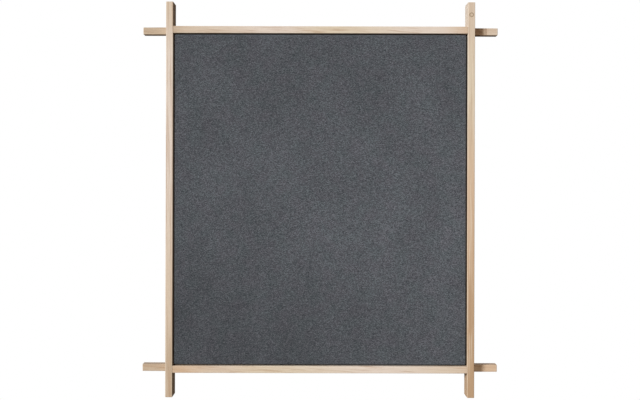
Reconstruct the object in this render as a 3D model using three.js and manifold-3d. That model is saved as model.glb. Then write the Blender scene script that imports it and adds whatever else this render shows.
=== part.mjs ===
// A wall pinboard: four wooden bars that cross at the corners, round a panel covered in woven cloth.
// Millimetres. X runs across the board, Z up it, and the front faces -Y. The wall is the plane Y = 0.
// The origin is on the wall, midway between the two wall screws that the board hangs on.
import * as THREE from "three";
import { mergeVertices } from "three/addons/utils/BufferGeometryUtils.js";
import Module from "manifold-3d";

// The frame: its clear opening, and the bars round it
const openingWidth = 700;
const openingHeight = 790;
const barFace = 17;
const barDepth = 30;
const hornLength = 58;
const edgeEase = 1.2;
const lapShare = 0.5;
const jointClearance = 0.2;

// The panel, from the front: cloth, soft core, stiff backer, and the cloth's hem turned over behind
const panelGap = 2.5;
const clothThickness = 0.8;
const coreThickness = 12;
const backerThickness = 4;
const hemWidth = 40;
const layerSlip = 0.15;
const panelCornerRadius = 3.5;
const panelEdgeRadius = 2.4;

// The cleats behind the panel
const cleatWidth = 22;
const cleatThickness = 8;
const cleatSetback = 1;
const seatClearance = 0.25;

// The keyhole hangers let into the top cleat, so far in from the opening's sides
const hangerInset = 100;
const hangerWidth = 44;
const hangerHeight = 18;
const hangerThickness = 1.5;
const hangerCornerRadius = 3;
const keyholeEntryRadius = 4.5;
const keyholeSlotRadius = 2.5;
const keyholeRise = 5.5;
const keyholeFoot = 2;
const hangerScrewSpacing = 32;
const hangerClearance = 0.2;
const pocketWidth = 12;
const pocketMargin = 0.3;
const pocketDepth = 6;

// Screws: length, shank and head radius, the head's flat rim, the cone under it, and the point
const cornerScrew = { length: 25, shank: 1.75, head: 3.5, rim: 0.4, cone: 1.9, point: 3 };
const cleatScrew = { length: 35, shank: 1.5, head: 3, rim: 0.4, cone: 1.6, point: 3 };
const panelScrew = { length: 16, shank: 1.75, head: 3.5, rim: 0.4, cone: 1.9, point: 3 };
const hangerScrew = { length: 6.2, shank: 1.25, head: 2.3, rim: 0.3, cone: 1, point: 1.4 };
const screwSink = 0.3;
const screwClearance = 0.3;
const cleatScrewShares = [-0.42, 0, 0.42];
const sidePanelScrewShares = [-0.36, -0.12, 0.12, 0.36];
const endPanelScrewShares = [-0.2, 0.2];

// How finely round shapes are cut, and how far a cutter runs past what it cuts
const screwSides = 8;
const arcSteps = 3;
const bevelSteps = 3;
const overrun = 2;

// Worked out from the sizes above
const lapDepth = barDepth * lapShare;
const stileX = (openingWidth + barFace) / 2;
const railZ = (openingHeight + barFace) / 2;
const stileLength = openingHeight + 2 * (barFace + hornLength);
const railLength = openingWidth + 2 * (barFace + hornLength);
const panelWidth = openingWidth - 2 * panelGap;
const panelHeight = openingHeight - 2 * panelGap;
const panelThickness = coreThickness + backerThickness + 2 * (clothThickness + layerSlip);
const cleatBackY = -cleatSetback;
const cleatFrontY = cleatBackY - cleatThickness;
const panelBackY = cleatFrontY - seatClearance;
const panelFrontY = panelBackY - panelThickness;
const fillFrontY = panelFrontY + clothThickness + layerSlip;
const fillBackY = panelBackY - clothThickness - layerSlip;
const coreBackY = fillFrontY + coreThickness;
const clothInset = clothThickness + layerSlip;
const cleatLineX = (openingWidth - cleatWidth) / 2 - jointClearance;
const cleatLineZ = (openingHeight - cleatWidth) / 2 - jointClearance;
const endCleatLength = openingWidth - 2 * jointClearance;
const sideCleatLength = openingHeight - 2 * (cleatWidth + 2 * jointClearance);
const cleatMidY = (cleatBackY + cleatFrontY) / 2;
const keyholeEntryZ = keyholeFoot + keyholeEntryRadius - hangerHeight / 2;
const keyholeTopZ = keyholeEntryZ + keyholeRise;
const hangingZ = cleatLineZ + keyholeTopZ;
const hangerSpacing = openingWidth - 2 * hangerInset;

const wood = { color: 0xd8c3ab, roughness: 0.62, metalness: 0 };
const batten = { color: 0xcfb389, roughness: 0.7, metalness: 0 };
const cloth = { color: 0x575a5d, roughness: 0.95, metalness: 0 };
const softboard = { color: 0xa98f6b, roughness: 0.95, metalness: 0 };
const hardboard = { color: 0x7a5738, roughness: 0.75, metalness: 0 };
const zinc = { color: 0xb9bcbd, roughness: 0.4, metalness: 0.9 };

const wasm = await Module();
wasm.setup();

const board = new THREE.Group();
board.position.z = -hangingZ;

// A closed three.js geometry as a solid that can be joined and cut.
function solid(geometry) {
  const bare = geometry.clone();
  bare.deleteAttribute("normal");
  bare.deleteAttribute("uv");
  const merged = mergeVertices(bare);
  const mesh = new wasm.Mesh({
    numProp: 3,
    vertProperties: merged.attributes.position.array,
    triVerts: new Uint32Array(merged.index.array),
  });
  return new wasm.Manifold(mesh);
}

// A solid back as a geometry, with a flat normal on every face.
function geometryOf(made) {
  const mesh = made.getMesh();
  const shared = new THREE.BufferGeometry();
  shared.setAttribute("position", new THREE.BufferAttribute(mesh.vertProperties, 3));
  shared.setIndex(new THREE.BufferAttribute(mesh.triVerts, 1));
  const faceted = shared.toNonIndexed();
  faceted.computeVertexNormals();
  return faceted;
}

// Adds a named piece to the board.
function piece(name, made, finish) {
  const mesh = new THREE.Mesh(geometryOf(made), new THREE.MeshStandardMaterial(finish));
  mesh.name = name;
  board.add(mesh);
}

// A block by its centre and size.
function block(x, y, z, width, depth, height) {
  return solid(new THREE.BoxGeometry(width, depth, height).translate(x, y, z));
}

// A block between two depths, front and back.
function blockBetween(x, frontY, backY, z, width, height) {
  return block(x, (frontY + backY) / 2, z, width, backY - frontY, height);
}

// A rectangle with its corners cut off, for a bar's section.
function easedSection(width, depth) {
  const [w, d, e] = [width / 2, depth / 2, edgeEase];
  const corners = [
    [w, d - e],
    [w - e, d],
    [e - w, d],
    [-w, d - e],
    [-w, e - d],
    [e - w, -d],
    [w - e, -d],
    [w, e - d],
  ];
  return new THREE.Shape(corners.map(([x, y]) => new THREE.Vector2(x, y)));
}

// A bar with its back on the wall plane and its long edges eased.
// It runs along Z, or along X where level is true.
function bar(length, depth, level, endEase) {
  const bevel = {
    bevelEnabled: endEase > 0,
    bevelSegments: 1,
    bevelThickness: endEase,
    bevelSize: endEase,
    bevelOffset: -endEase,
  };
  const straight = length - 2 * endEase;
  const section = easedSection(barFace, depth);
  const geometry = new THREE.ExtrudeGeometry(section, { depth: straight, steps: 1, ...bevel });
  geometry.translate(0, -depth / 2, -straight / 2);
  if (level) {
    geometry.rotateY(Math.PI / 2);
  }
  return solid(geometry);
}

// A flat slab in the board's plane, with round corners and rounded front and back edges.
function roundedSlab(width, height, frontY, backY, inset) {
  const [w, h] = [width / 2 - inset, height / 2 - inset];
  const corner = panelCornerRadius - inset;
  const bevel = panelEdgeRadius - inset;
  const outline = new THREE.Shape();
  outline.absarc(w - corner, h - corner, corner, 0, Math.PI / 2);
  outline.absarc(corner - w, h - corner, corner, Math.PI / 2, Math.PI);
  outline.absarc(corner - w, corner - h, corner, Math.PI, Math.PI * 1.5);
  outline.absarc(w - corner, corner - h, corner, Math.PI * 1.5, Math.PI * 2);
  const geometry = new THREE.ExtrudeGeometry(outline, {
    depth: backY - frontY - 2 * (inset + bevel),
    steps: 1,
    curveSegments: arcSteps,
    bevelEnabled: true,
    bevelSegments: bevelSteps,
    bevelThickness: bevel,
    bevelSize: bevel,
    bevelOffset: -bevel,
  });
  geometry.rotateX(Math.PI / 2);
  geometry.translate(0, backY - inset - bevel, 0);
  return solid(geometry);
}

// A screw, or with a clearance the hole for one, with its head's face at y = 0 and its point towards -y.
function screwForm(size, clearance) {
  const mouth = clearance > 0 ? overrun : 0;
  const underRim = -size.rim - clearance;
  const profile = [
    [0, mouth],
    [size.head + clearance, mouth],
    [size.head + clearance, underRim],
    [size.shank + clearance, underRim - size.cone],
    [size.shank + clearance, size.point - size.length - clearance],
    [0, -size.length - clearance],
  ];
  const points = profile.reverse().map(([radius, y]) => new THREE.Vector2(radius, y));
  return new THREE.LatheGeometry(points, screwSides);
}

// Where each screw stands: the head's middle, and the way from its point to its head.
const screws = [];

function addScrew(name, size, head, outward) {
  screws.push({ name, size, head, outward });
}

function placeScrew(geometry, { head, outward }) {
  const turn = new THREE.Quaternion().setFromUnitVectors(new THREE.Vector3(0, 1, 0), outward);
  return geometry.applyQuaternion(turn).translate(head.x, head.y, head.z);
}

// A solid with the holes of the screws that pass through it or end in it.
function drilled(made, prefixes) {
  const holes = screws.filter(({ name }) => prefixes.some((prefix) => name.startsWith(prefix)));
  return holes.reduce((cut, screw) => {
    const hole = placeScrew(screwForm(screw.size, screwClearance), screw);
    return cut.subtract(solid(hole));
  }, made);
}

const ends = [
  { side: "left", sign: -1 },
  { side: "right", sign: 1 },
];
const levels = [
  { side: "bottom", sign: -1 },
  { side: "top", sign: 1 },
];
const towardsWall = new THREE.Vector3(0, 1, 0);

// Screws through the lapped corners, from the wall side.
function layOutCornerScrews() {
  for (const level of levels) {
    for (const end of ends) {
      const head = new THREE.Vector3(end.sign * stileX, -screwSink, level.sign * railZ);
      addScrew(`corner_screw_${level.side}_${end.side}`, cornerScrew, head, towardsWall);
    }
  }
}

// Screws through each cleat into its bar, and through it into the panel.
function layOutCleatScrews() {
  const headX = cleatLineX - cleatWidth / 2 + screwSink;
  const headZ = cleatLineZ - cleatWidth / 2 + screwSink;
  const panelHeadY = cleatBackY - screwSink;
  for (const { side, sign } of ends) {
    const inward = new THREE.Vector3(-sign, 0, 0);
    cleatScrewShares.forEach((share, i) => {
      const head = new THREE.Vector3(sign * headX, cleatMidY, share * sideCleatLength);
      addScrew(`cleat_screw_${side}_${i + 1}`, cleatScrew, head, inward);
    });
    sidePanelScrewShares.forEach((share, i) => {
      const head = new THREE.Vector3(sign * cleatLineX, panelHeadY, share * sideCleatLength);
      addScrew(`panel_screw_${side}_${i + 1}`, panelScrew, head, towardsWall);
    });
  }
  for (const { side, sign } of levels) {
    const inward = new THREE.Vector3(0, 0, -sign);
    cleatScrewShares.forEach((share, i) => {
      const head = new THREE.Vector3(share * endCleatLength, cleatMidY, sign * headZ);
      addScrew(`cleat_screw_${side}_${i + 1}`, cleatScrew, head, inward);
    });
    endPanelScrewShares.forEach((share, i) => {
      const head = new THREE.Vector3(share * endCleatLength, panelHeadY, sign * cleatLineZ);
      addScrew(`panel_screw_${side}_${i + 1}`, panelScrew, head, towardsWall);
    });
  }
}

// Screws that hold the two keyhole plates.
function layOutHangerScrews() {
  for (const { side, sign } of ends) {
    for (const [place, step] of [["inner", -sign], ["outer", sign]]) {
      const x = (sign * hangerSpacing + step * hangerScrewSpacing) / 2;
      const head = new THREE.Vector3(x, cleatBackY, cleatLineZ);
      addScrew(`hanger_screw_${side}_${place}`, hangerScrew, head, towardsWall);
    }
  }
}

function makeStiles() {
  for (const { side, sign } of ends) {
    let stile = bar(stileLength, barDepth, false, edgeEase).translate([sign * stileX, 0, 0]);
    for (const level of levels) {
      const notch = blockBetween(
        sign * stileX,
        -lapDepth - jointClearance,
        overrun,
        level.sign * railZ,
        barFace + 2 * overrun,
        barFace + 2 * jointClearance,
      );
      stile = stile.subtract(notch);
    }
    const screwed = levels.map((level) => `corner_screw_${level.side}_${side}`);
    piece(`${side}_stile`, drilled(stile, [...screwed, `cleat_screw_${side}`]), wood);
  }
}

function makeRails() {
  for (const { side, sign } of levels) {
    const tongue = bar(railLength, lapDepth, true, edgeEase);
    const middle = bar(openingWidth - 2 * jointClearance, barDepth, true, 0);
    const rail = tongue.add(middle).translate([0, 0, sign * railZ]);
    piece(`${side}_rail`, drilled(rail, [`corner_screw_${side}`, `cleat_screw_${side}`]), wood);
  }
}

function makePanel() {
  const outer = roundedSlab(panelWidth, panelHeight, panelFrontY, panelBackY, 0);
  const room = roundedSlab(panelWidth, panelHeight, panelFrontY, panelBackY, clothThickness);
  const fill = roundedSlab(panelWidth, panelHeight, panelFrontY, panelBackY, clothInset);
  const [wide, high] = [panelWidth + overrun, panelHeight + overrun];
  const hemOpening = blockBetween(
    0,
    fillBackY - layerSlip,
    panelBackY + overrun,
    0,
    panelWidth - 2 * hemWidth,
    panelHeight - 2 * hemWidth,
  );
  const frontHalf = blockBetween(0, fillFrontY - overrun, coreBackY, 0, wide, high);
  const backHalf = blockBetween(0, coreBackY, fillBackY + overrun, 0, wide, high);
  piece("fabric_cover", drilled(outer.subtract(room).subtract(hemOpening), ["panel_screw"]), cloth);
  piece("pin_core", drilled(fill.intersect(frontHalf), ["panel_screw"]), softboard);
  piece("backer_panel", drilled(fill.intersect(backHalf), ["panel_screw"]), hardboard);
}

// The plate's outline with its keyhole, in the board's plane about the plate's middle.
function hangerShape() {
  const [w, h, r] = [hangerWidth / 2, hangerHeight / 2, hangerCornerRadius];
  const shape = new THREE.Shape();
  shape.absarc(w - r, h - r, r, 0, Math.PI / 2);
  shape.absarc(r - w, h - r, r, Math.PI / 2, Math.PI);
  shape.absarc(r - w, r - h, r, Math.PI, Math.PI * 1.5);
  shape.absarc(w - r, r - h, r, Math.PI * 1.5, Math.PI * 2);
  const meet = Math.acos(keyholeSlotRadius / keyholeEntryRadius);
  const keyhole = new THREE.Path();
  keyhole.absarc(0, keyholeTopZ, keyholeSlotRadius, 0, Math.PI);
  keyhole.absarc(0, keyholeEntryZ, keyholeEntryRadius, Math.PI - meet, 2 * Math.PI + meet);
  shape.holes.push(keyhole);
  return shape;
}

function makeHangers() {
  for (const { side, sign } of ends) {
    const geometry = new THREE.ExtrudeGeometry(hangerShape(), {
      depth: hangerThickness,
      bevelEnabled: false,
      curveSegments: 2 * arcSteps,
    });
    geometry.rotateX(Math.PI / 2);
    geometry.translate((sign * hangerSpacing) / 2, cleatBackY, cleatLineZ);
    piece(`hanger_${side}`, drilled(solid(geometry), [`hanger_screw_${side}`]), zinc);
  }
}

// The recess that a hanger plate lies in, and the pocket behind it for the wall screw's head.
function hangerSeat(sign) {
  const x = (sign * hangerSpacing) / 2;
  const recessFrontY = cleatBackY - hangerThickness - hangerClearance;
  const pocketTop = keyholeTopZ + keyholeEntryRadius + pocketMargin;
  const pocketFoot = keyholeEntryZ - keyholeEntryRadius - pocketMargin;
  const recess = blockBetween(
    x,
    recessFrontY,
    overrun,
    cleatLineZ,
    hangerWidth + 2 * hangerClearance,
    hangerHeight + 2 * hangerClearance,
  );
  const pocket = blockBetween(
    x,
    cleatBackY - pocketDepth,
    overrun,
    cleatLineZ + (pocketTop + pocketFoot) / 2,
    pocketWidth,
    pocketTop - pocketFoot,
  );
  return recess.add(pocket);
}

function makeCleats() {
  for (const { side, sign } of ends) {
    const cleat = blockBetween(sign * cleatLineX, cleatFrontY, cleatBackY, 0, cleatWidth, sideCleatLength);
    piece(`cleat_${side}`, drilled(cleat, [`cleat_screw_${side}`, `panel_screw_${side}`]), batten);
  }
  for (const { side, sign } of levels) {
    let cleat = blockBetween(0, cleatFrontY, cleatBackY, sign * cleatLineZ, endCleatLength, cleatWidth);
    const drilledFor = [`cleat_screw_${side}`, `panel_screw_${side}`];
    if (side === "top") {
      cleat = cleat.subtract(hangerSeat(-1)).subtract(hangerSeat(1));
      drilledFor.push("hanger_screw");
    }
    piece(`cleat_${side}`, drilled(cleat, drilledFor), batten);
  }
}

function makeScrews() {
  for (const screw of screws) {
    const geometry = placeScrew(screwForm(screw.size, 0), screw);
    piece(screw.name, solid(geometry), zinc);
  }
}

layOutCornerScrews();
layOutCleatScrews();
layOutHangerScrews();
makeStiles();
makeRails();
makePanel();
makeCleats();
makeHangers();
makeScrews();

export default board;
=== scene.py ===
import math
import random

import bmesh
import bpy
from mathutils import Matrix, Vector, noise


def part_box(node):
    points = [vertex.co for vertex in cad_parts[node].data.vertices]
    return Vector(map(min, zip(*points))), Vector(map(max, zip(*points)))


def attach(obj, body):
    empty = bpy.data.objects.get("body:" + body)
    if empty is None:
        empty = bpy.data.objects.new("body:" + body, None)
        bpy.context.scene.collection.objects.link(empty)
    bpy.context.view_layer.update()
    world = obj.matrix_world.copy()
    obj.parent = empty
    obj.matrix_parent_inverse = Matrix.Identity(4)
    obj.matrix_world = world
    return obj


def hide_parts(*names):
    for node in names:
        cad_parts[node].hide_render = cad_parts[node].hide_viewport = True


bl_info = {
    "name": "Crossed-bar pinboard",
    "version": (1, 0, 0),
    "blender": (4, 5, 0),
    "location": "3D View > Sidebar > Pinboard",
    "description": "Dresses a wall pinboard: crossed wooden bars round a panel covered in woven cloth",
    "category": "Object",
}

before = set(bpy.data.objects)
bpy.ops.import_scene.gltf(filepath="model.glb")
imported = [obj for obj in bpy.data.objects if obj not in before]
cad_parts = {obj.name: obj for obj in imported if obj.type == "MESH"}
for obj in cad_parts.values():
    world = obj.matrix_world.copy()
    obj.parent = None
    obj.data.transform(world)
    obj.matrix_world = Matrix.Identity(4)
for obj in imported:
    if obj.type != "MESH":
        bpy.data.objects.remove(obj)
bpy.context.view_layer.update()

MM = 0.001
# Places closer than this are taken as one.
SAME = 0.01 * MM
CUT_TOLERANCE = 0.001 * MM

LEFT_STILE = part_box("left_stile")
RIGHT_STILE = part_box("right_stile")
TOP_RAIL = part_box("top_rail")
BOTTOM_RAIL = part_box("bottom_rail")
LAP_DEPTH = (LEFT_STILE[1].y - LEFT_STILE[0].y) / 2
JOINT_GAP = 0.2 * MM
# Edges this close to a joint keep their corners.
JOINT_EDGE = 0.1 * MM

CLOTH_LOW, CLOTH_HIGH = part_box("fabric_cover")
BOARD_MIDDLE = (CLOTH_LOW + CLOTH_HIGH) / 2
HALF_WIDTH = (CLOTH_HIGH.x - CLOTH_LOW.x) / 2
HALF_HEIGHT = (CLOTH_HIGH.z - CLOTH_LOW.z) / 2
PANEL_DEPTH = CLOTH_HIGH.y - CLOTH_LOW.y
HEM_WIDTH = 40 * MM
CLOTH_THICKNESS = 0.8 * MM

# From each side of the board towards its middle.
INWARD = {
    "left": Vector((1, 0, 0)),
    "right": Vector((-1, 0, 0)),
    "top": Vector((0, 0, -1)),
    "bottom": Vector((0, 0, 1)),
}
TO_WALL = Vector((0, 1, 0))


# Settings a user would change


def number(name, description, default, **kind):
    return bpy.props.FloatProperty(name=name, description=description, default=default, **kind)


def length(name, description, default):
    return number(name, description, default, min=0, unit="LENGTH", subtype="DISTANCE", precision=5)


def share(name, description, default):
    return number(name, description, default, min=0, max=1, subtype="FACTOR")


def angle(name, description, degrees):
    return number(name, description, math.radians(degrees), unit="ROTATION", subtype="ANGLE")


def colour(name, description, default):
    kind = {"size": 3, "min": 0, "max": 1, "subtype": "COLOR"}
    return bpy.props.FloatVectorProperty(name=name, description=description, default=default, **kind)


class BarSettings(bpy.types.PropertyGroup):
    edge_radius: length("Edge radius", "How far the bars' edges are rounded", 1.2 * MM)
    edge_steps: bpy.props.IntProperty(
        name="Edge steps", description="Faces across a rounded edge", default=3, min=1
    )
    ring_spacing: length("Ring spacing", "Width of one growth ring", 3.4 * MM)
    wander: length("Grain wander", "How far the grain strays from straight", 3.2 * MM)
    ring_depth: share("Ring depth", "How much darker late wood is", 0.22)
    pink_cream: colour("Pink cream", "Palest wood", (0.825, 0.715, 0.635))
    yellow_cream: colour("Yellow cream", "Pale yellowish wood", (0.765, 0.655, 0.51))
    biscuit: colour("Biscuit", "Even middle tone of the wood", (0.725, 0.595, 0.475))
    tan: colour("Tan", "Warm middle tone of the wood", (0.70, 0.515, 0.365))
    khaki: colour("Khaki", "Dull darker tone of the wood", (0.59, 0.465, 0.345))
    orange_tan: colour("Orange tan", "Darkest tone of the wood", (0.525, 0.355, 0.22))
    streak_brown: colour("Brown streak", "Thin streaks of darker fibre", (0.44, 0.27, 0.16))
    pale: colour("Pale streak", "Pale streaks and worn edges", (0.79, 0.68, 0.56))
    # Painted shade: the bars' sides are painted darker than their faces, as if less light fell on them.
    painted_side_shade: colour("Painted side shade", "How much duller the sides are than the faces", (0.70, 0.69, 0.69))


class ClothSettings(bpy.types.PropertyGroup):
    thread_pitch: length("Thread pitch", "Distance from one yarn to the next", 1.25 * MM)
    dark_yarn: colour("Dark yarn", "Darkest fibres of the mixed yarn", (0.036, 0.039, 0.046))
    middle_yarn: colour("Middle yarn", "Usual shade of the yarn", (0.085, 0.0905, 0.102))
    light_yarn: colour("Light yarn", "Lightest fibres of the mixed yarn", (0.187, 0.196, 0.218))
    cell: length("Mesh cell", "Size of the cloth's faces", 10 * MM)
    bulge: length("Bulge", "How far the soft core swells the cloth", 0.5 * MM)
    hem_stray: length("Hem stray", "How far the hem's cut edge strays", 0.7 * MM)


class FixingSettings(bpy.types.PropertyGroup):
    staple_spacing: length("Staple spacing", "Distance between the hem's staples", 62 * MM)
    staple_width: length("Staple width", "Width of a staple's crown", 10.5 * MM)
    cleat_edge: length("Batten edge", "How far the battens' edges are broken", 0.8 * MM)
    pine: colour("Pine", "Pale wood of the battens", (0.66, 0.50, 0.31))
    pine_dark: colour("Dark pine", "Warmer wood of the battens", (0.56, 0.38, 0.20))
    zinc: colour("Zinc", "Plating of the screws, plates and staples", (0.50, 0.51, 0.53))
    hardboard: colour("Hardboard", "Brown sheet behind the core", (0.27, 0.155, 0.08))
    softboard: colour("Softboard", "Soft core that takes the pins", (0.42, 0.31, 0.19))


class StageSettings(bpy.types.PropertyGroup):
    key_strength: number("Key strength", "Strength of the main lamp", 4.5, min=0)
    key_left: angle("Key to the left", "How far to the left the main lamp stands", 60.5)
    key_height: angle("Key height", "How high the main lamp stands", 19)
    key_softness: angle("Key softness", "How wide the main lamp looks from the board", 13)
    key_tint: colour("Key tint", "Slightly cool light of the main lamp", (0.94, 0.98, 1.0))
    fill_strength: number("Fill strength", "Strength of the lamp in front", 0.8, min=0)
    fill_left: angle("Fill to the left", "How far to the left the lamp in front stands", -9)
    fill_height: angle("Fill height", "How high the lamp in front stands", 15)
    fill_softness: angle("Fill softness", "How wide the lamp in front looks", 50)
    fill_tint: colour("Fill tint", "Warm light of the lamp in front", (1.0, 0.87, 0.72))
    back_strength: number("Back strength", "Strength of the lamp behind", 2.3, min=0)
    back_left: angle("Back to the left", "How far to the left the lamp behind stands", 5)
    back_height: angle("Back height", "How high the lamp behind stands", 20)
    back_softness: angle("Back softness", "How wide the lamp behind looks", 4)
    back_tint: colour("Back tint", "White light of the lamp behind", (1, 1, 1))
    ambient: colour("Ambient", "Light that comes from all round", (0.055, 0.042, 0.030))
    floor: colour("Floor", "Pale floor far below the board", (0.92, 0.90, 0.88))
    floor_glow: colour("Floor glow", "What the floor sends back up of the light on it", (0.25, 0.22, 0.19))
    floor_drop: length("Floor drop", "How far the floor lies below the board's middle", 1.55)
    lens: number("Lens", "Focal length in millimetres", 34.2, unit="CAMERA")
    distance: length("Distance", "From the camera to the bars' front", 1.443)
    roll: angle("Roll", "How far the camera is turned", 0.15)


# Mesh helpers


# Edges that bend by more than this many degrees stay sharp.
WOOD_SHARP = 40
METAL_SHARP = 35
STAPLE_SHARP = 50


def in_scene(name, data):
    """A new object in the scene."""
    made = bpy.data.objects.new(name, data)
    bpy.context.scene.collection.objects.link(made)
    return made


def finish_piece(name, mesh, material, slot, *nodes):
    """Puts a finished mesh in the scene as a piece that stands for the named CAD nodes."""
    piece = in_scene(name, mesh)
    piece.data.materials.clear()
    piece.data.materials.append(material)
    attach(piece, "root")
    if nodes:
        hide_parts(*nodes)
    return piece


def finish_wood(name, mesh, wood, slot, node):
    """A wooden piece, whose broad flat faces stay flat in shade beside their rounded edges."""
    shade(mesh, WOOD_SHARP)
    piece = finish_piece(name, mesh, wood, slot, node)
    weighted = piece.modifiers.new("even_normals", "WEIGHTED_NORMAL")
    weighted.keep_sharp = True
    weighted.weight = 100


def mesh_from(shape, name, sharp=None):
    """Turns a bmesh into a mesh with outward normals, smooth apart from edges past the sharp angle."""
    bmesh.ops.recalc_face_normals(shape, faces=shape.faces[:])
    mesh = bpy.data.meshes.new(name)
    shape.to_mesh(mesh)
    shape.free()
    if sharp is not None:
        shade(mesh, sharp)
    return mesh


def shade(mesh, sharp):
    """Shades a mesh smoothly, apart from edges that bend by more than the given degrees."""
    mesh.shade_smooth()
    mesh.set_sharp_from_angle(angle=math.radians(sharp))


def carve(mesh, *cutters):
    """Cuts each cutter's bmesh out of a mesh, one after another."""
    body = in_scene("carved", mesh)
    for shape in cutters:
        tool = in_scene("cutter", mesh_from(shape, "cutter"))
        cut = body.modifiers.new("cut", "BOOLEAN")
        cut.operation = "DIFFERENCE"
        cut.solver = "EXACT"
        cut.object = tool
        graph = bpy.context.evaluated_depsgraph_get()
        graph.update()
        body.data = bpy.data.meshes.new_from_object(body.evaluated_get(graph))
        body.modifiers.clear()
        bpy.data.objects.remove(tool)
    carved = body.data
    bpy.data.objects.remove(body)
    return carved


def box_shape(low, high, shape=None):
    """A box between two corners, in a new bmesh or added to a given one."""
    shape = shape or bmesh.new()
    low, high = Vector(low), Vector(high)
    place = Matrix.Translation((low + high) / 2) @ Matrix.Diagonal((*(high - low), 1))
    bmesh.ops.create_cube(shape, size=1, matrix=place)
    return shape


def round_edges(shape, radius, steps, wanted=lambda edge: True):
    """Rounds the wanted edges, with the given number of faces across each."""
    edges = [edge for edge in shape.edges if wanted(edge)]
    how = {"offset_type": "OFFSET", "profile": 0.5, "affect": "EDGES", "material": -1}
    bmesh.ops.bevel(shape, geom=edges, offset=radius, segments=steps, **how)


def runs_along(edge, axis):
    """True for an edge that lies within about 8 degrees of one of the three axes."""
    step = edge.verts[1].co - edge.verts[0].co
    return abs(step[axis]) > 0.99 * step.length


def extruded(outline, travel):
    """A flat outline pushed along a vector into a solid."""
    shape = bmesh.new()
    face = shape.faces.new([shape.verts.new(point) for point in outline])
    pushed = bmesh.ops.extrude_face_region(shape, geom=[face])["geom"]
    moved = [part for part in pushed if isinstance(part, bmesh.types.BMVert)]
    bmesh.ops.translate(shape, verts=moved, vec=travel)
    bmesh.ops.recalc_face_normals(shape, faces=shape.faces[:])
    return shape


def turned(profile, sides):
    """A solid turned about Z from (radius, height) points."""
    shape = bmesh.new()
    points = [shape.verts.new((radius, 0, height)) for radius, height in profile]
    edges = [shape.edges.new(pair) for pair in zip(points, points[1:])]
    turn = {"cent": (0, 0, 0), "axis": (0, 0, 1), "angle": 2 * math.pi}
    bmesh.ops.spin(shape, geom=points + edges, steps=sides, use_merge=True, **turn)
    bmesh.ops.remove_doubles(shape, verts=shape.verts[:], dist=CUT_TOLERANCE)
    bmesh.ops.recalc_face_normals(shape, faces=shape.faces[:])
    return shape


def add_shape(whole, part):
    """Adds a bmesh to another and frees it."""
    mesh = bpy.data.meshes.new("part")
    part.to_mesh(mesh)
    part.free()
    whole.from_mesh(mesh)
    bpy.data.meshes.remove(mesh)


# Node helpers


class Wire:
    """An output of a node. Sums of wires are written as sums, and each adds the node that works it out."""

    def __init__(self, socket):
        self.socket = socket

    def put(self, kind, inputs, output=0, **settings):
        """Adds a node to the tree that this wire is in."""
        return put(self.socket.id_data, kind, inputs, output, **settings)

    def maths(self, operation, other=0.0, clamp=False):
        """A number worked out from this one."""
        return self.put("Math", {0: self, 1: other}, operation=operation, use_clamp=clamp)

    def vector(self, operation, other=(0, 0, 0)):
        """A vector or colour worked out from this one, or a vector's length or product."""
        output = "Value" if operation in ("LENGTH", "DOT_PRODUCT") else "Vector"
        return self.put("VectorMath", {0: self, 1: other}, output, operation=operation)

    def joined(self, operation, other):
        kind = self.maths if self.socket.type == "VALUE" else self.vector
        return kind(operation, other)

    def __add__(self, other):
        return self.joined("ADD", other)

    def __sub__(self, other):
        return self.joined("SUBTRACT", other)

    def __rsub__(self, other):
        return self.put("Math", {0: other, 1: self}, operation="SUBTRACT")

    def __mul__(self, other):
        return self.joined("MULTIPLY", other)

    def __truediv__(self, other):
        return self.joined("DIVIDE", other)

    def __pow__(self, power):
        return self.maths("POWER", power)

    def __abs__(self):
        return self.maths("ABSOLUTE")


def put(tree, kind, inputs=None, output=0, **settings):
    """Adds a node and gives one of its outputs, or with None all. An input is a value or a wire."""
    node = tree.nodes.new("ShaderNode" + kind)
    for key, value in settings.items():
        setattr(node, key, value)
    for key, value in (inputs or {}).items():
        if isinstance(value, Wire):
            tree.links.new(value.socket, node.inputs[key])
        else:
            node.inputs[key].default_value = value
    if output is None:
        return [Wire(socket) for socket in node.outputs]
    return Wire(node.outputs[output])


def new_material(name):
    material = bpy.data.materials.new(name)
    material.use_nodes = True
    material.node_tree.nodes.clear()
    return material, material.node_tree


def surface(color, roughness, height, depth, fixed):
    """The shader at the end of a finish; its fixed values go straight on its own sockets."""
    bump = color.put("Bump", {"Height": height, "Strength": 1.0, "Distance": depth})
    inputs = {"Base Color": color, "Roughness": roughness, "Normal": bump, **fixed}
    color.put("OutputMaterial", {"Surface": color.put("BsdfPrincipled", inputs)}, None)


def millimetres(tree):
    """Object coordinates in millimetres."""
    place = put(tree, "TexCoord", output="Object")
    return place.put("Mapping", {"Vector": place, "Scale": (1 / MM,) * 3})


def axes(vector):
    """A vector's X, Y and Z."""
    return vector.put("SeparateXYZ", {"Vector": vector}, None)


def from_axes(**parts):
    """A vector from its X, Y and Z. At least one is a wire, and one that isn't given is 0."""
    wire = next(part for part in parts.values() if isinstance(part, Wire))
    return wire.put("CombineXYZ", parts)


def ramp(factor, stops, interpolation="LINEAR"):
    """A colour ramp with (place, grey or colour) stops."""
    wire = factor.put("ValToRGB", {"Fac": factor}, "Color")
    band = wire.socket.node.color_ramp
    band.interpolation = interpolation
    while len(band.elements) < len(stops):
        band.elements.new(0.5)
    for element, (place, value) in zip(band.elements, stops):
        element.position = place
        element.color = (*value, 1) if hasattr(value, "__len__") else (value, value, value, 1)
    return wire


def mixed(factor, first, second):
    """The first colour, giving way to the second as the factor grows to 1."""
    colors = [color if isinstance(color, Wire) else (*color, 1) for color in (first, second)]
    return factor.put("Mix", {0: factor, 6: colors[0], 7: colors[1]}, 2, data_type="RGBA")


def either(choice, first, second):
    """The first number where the choice is 0, the second where it is 1."""
    return choice.put("Mix", {0: choice, 2: first, 3: second}, data_type="FLOAT")


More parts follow.
